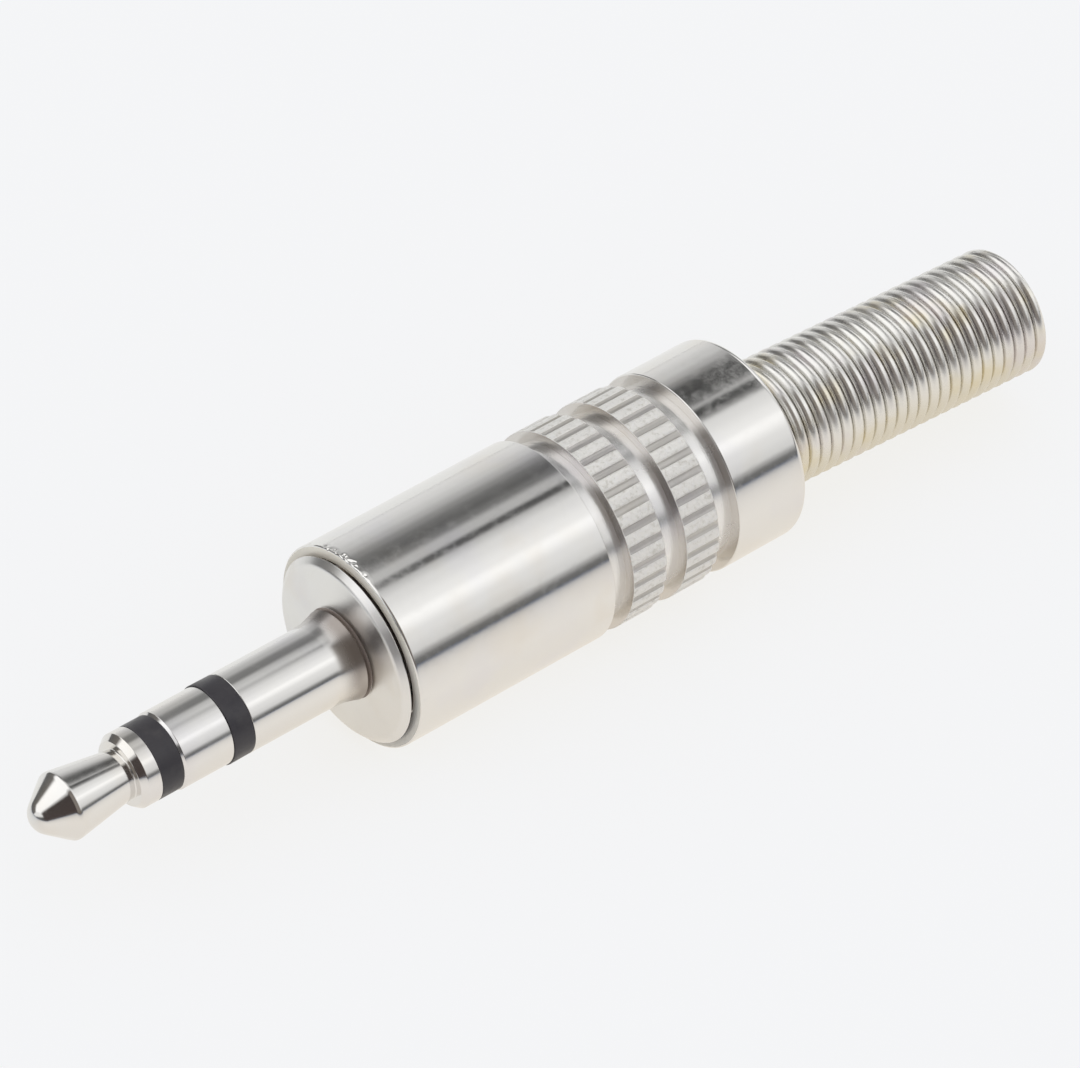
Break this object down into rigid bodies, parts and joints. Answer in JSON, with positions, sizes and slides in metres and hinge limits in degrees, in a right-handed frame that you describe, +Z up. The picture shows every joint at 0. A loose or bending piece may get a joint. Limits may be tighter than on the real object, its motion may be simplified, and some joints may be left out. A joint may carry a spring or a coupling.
{
  "type": "stereo jack plug",
  "caption": "Slim stereo jack plug with tip, ring and sleeve contacts, a knurled screw shell and a close-wound spring as strain relief for the cable.",
  "frame": {"origin": "centre of the flange face that seats against the socket, on the plug's axis", "axes": "+X along the plug's axis towards the cable, the tip points along -X, +Z up"},
  "size_m": [0.0364, 0.0064, 0.0064],
  "materials": {
    "contact_nickel": "bright nickel plate on turned brass",
    "shell_nickel": "nickel plate on turned and knurled brass, with faint turning lines",
    "spring_wire": "plated steel wire, lightly tarnished between the turns",
    "black_insulator": "moulded black, turned flush and half polished",
    "tinned_lug": "tinned sheet brass",
    "fibre_washer": "pressed fibre board",
    "clear_tube": "milky clear plastic film"
  },
  "bodies": {
    "plug_core": {"tip_contact": "contact_nickel", "tip_insulator": "black_insulator", "ring_contact": "contact_nickel", "ring_insulator": "black_insulator", "sleeve_contact": "contact_nickel", "sleeve_lug": "tinned_lug", "ring_lug_washer": "fibre_washer", "ring_lug": "tinned_lug", "tip_lug_washer": "fibre_washer", "tip_lug": "tinned_lug"},
    "tube_carrier": {"insulating_tube": "clear_tube"},
    "shell_unit": {"shell": "shell_nickel", "strain_relief_spring": "spring_wire"}
  },
  "joints": [
    {"name": "shell_advance", "type": "slide", "parent": "plug_core", "child": "tube_carrier", "axis": [1, 0, 0], "range_m": [0, 0.0025]},
    {"name": "shell_unscrew", "type": "hinge", "parent": "tube_carrier", "child": "shell_unit", "pos_m": [0.008, 0, 0], "axis": [1, 0, 0], "range_deg": [0, 1800]}
  ],
  "couplings": [
    {"joint": "shell_unscrew", "follows": "shell_advance", "rad_per_m": 12566}
  ]
}
